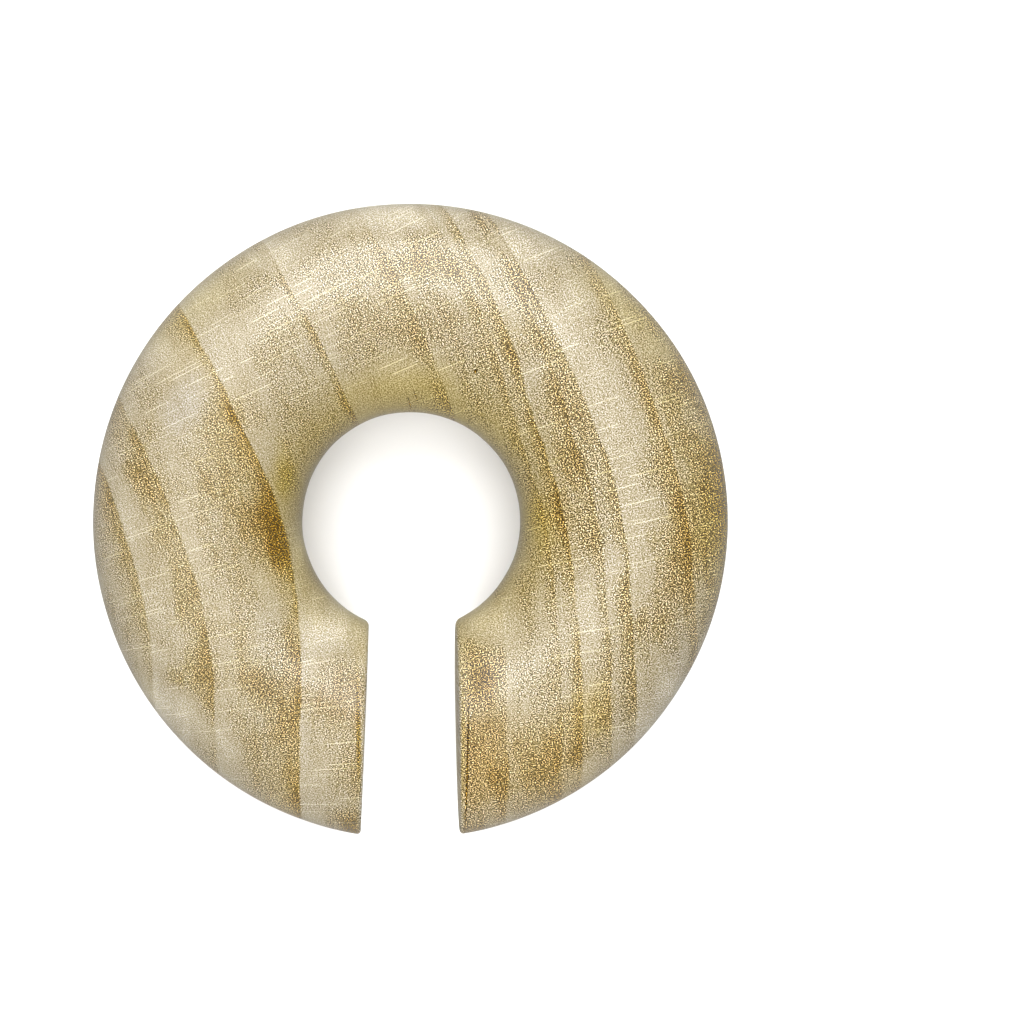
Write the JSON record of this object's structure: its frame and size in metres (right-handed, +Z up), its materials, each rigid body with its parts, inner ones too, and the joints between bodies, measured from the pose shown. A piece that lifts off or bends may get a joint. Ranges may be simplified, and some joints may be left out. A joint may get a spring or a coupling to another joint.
{
  "type": "wooden ear hoop",
  "caption": "Thick round hoop of polished figured wood for a stretched earlobe, with an open slot sawn through one side so that it slips on over the lobe's edge.",
  "frame": {"origin": "on the ring's axis, in the plane of the surface that the hoop lies on", "axes": "+Z up along the ring's axis, the slot opens towards -Y, +X to the right as the hoop is seen from above with its slot at the bottom"},
  "size_m": [0.0364, 0.0362, 0.012],
  "materials": {
    "wood": "sanded and oiled to a satin sheen"
  },
  "bodies": {
    "root": {"hoop": "wood"}
  },
  "joints": []
}
